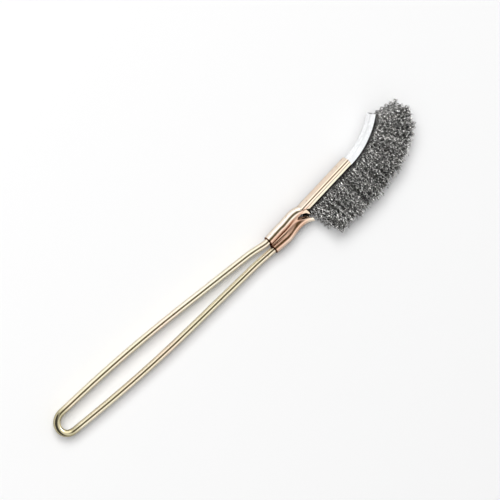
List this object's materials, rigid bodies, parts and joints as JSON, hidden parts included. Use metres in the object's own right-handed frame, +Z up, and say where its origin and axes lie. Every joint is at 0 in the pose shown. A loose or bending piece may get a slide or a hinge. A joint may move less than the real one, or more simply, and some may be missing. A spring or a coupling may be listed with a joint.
{
  "type": "wire brush",
  "caption": "Hand wire brush with a long flat wire loop handle, a crimped sheet ferrule and a strip of steel bristles that curves back at the tip.",
  "frame": {"origin": "centre of the bounding box's underside, with the brush lying flat on one side", "axes": "+X from the loop's end to the head, +Y to the back of the bristle strip (the bristles point to -Y), +Z up, square to the plane of the loop"},
  "size_m": [0.2718, 0.0454, 0.0135],
  "materials": {
    "handle_wire": "yellow passivated zinc, satin",
    "ferrule_sheet": "copper toned plating, semi-gloss",
    "channel_strip": "galvanised, satin",
    "core_wire": "drawn, satin",
    "bristle_wire": "drawn crimped wire, bright where it catches light"
  },
  "bodies": {
    "root": {"handle_loop": "handle_wire", "ferrule": "ferrule_sheet", "bristle_channel": "channel_strip", "core_wire": "core_wire", "bristles_1": "bristle_wire", "bristles_2": "bristle_wire", "bristles_3": "bristle_wire", "bristles_4": "bristle_wire", "bristles_5": "bristle_wire", "bristles_6": "bristle_wire"}
  },
  "joints": []
}
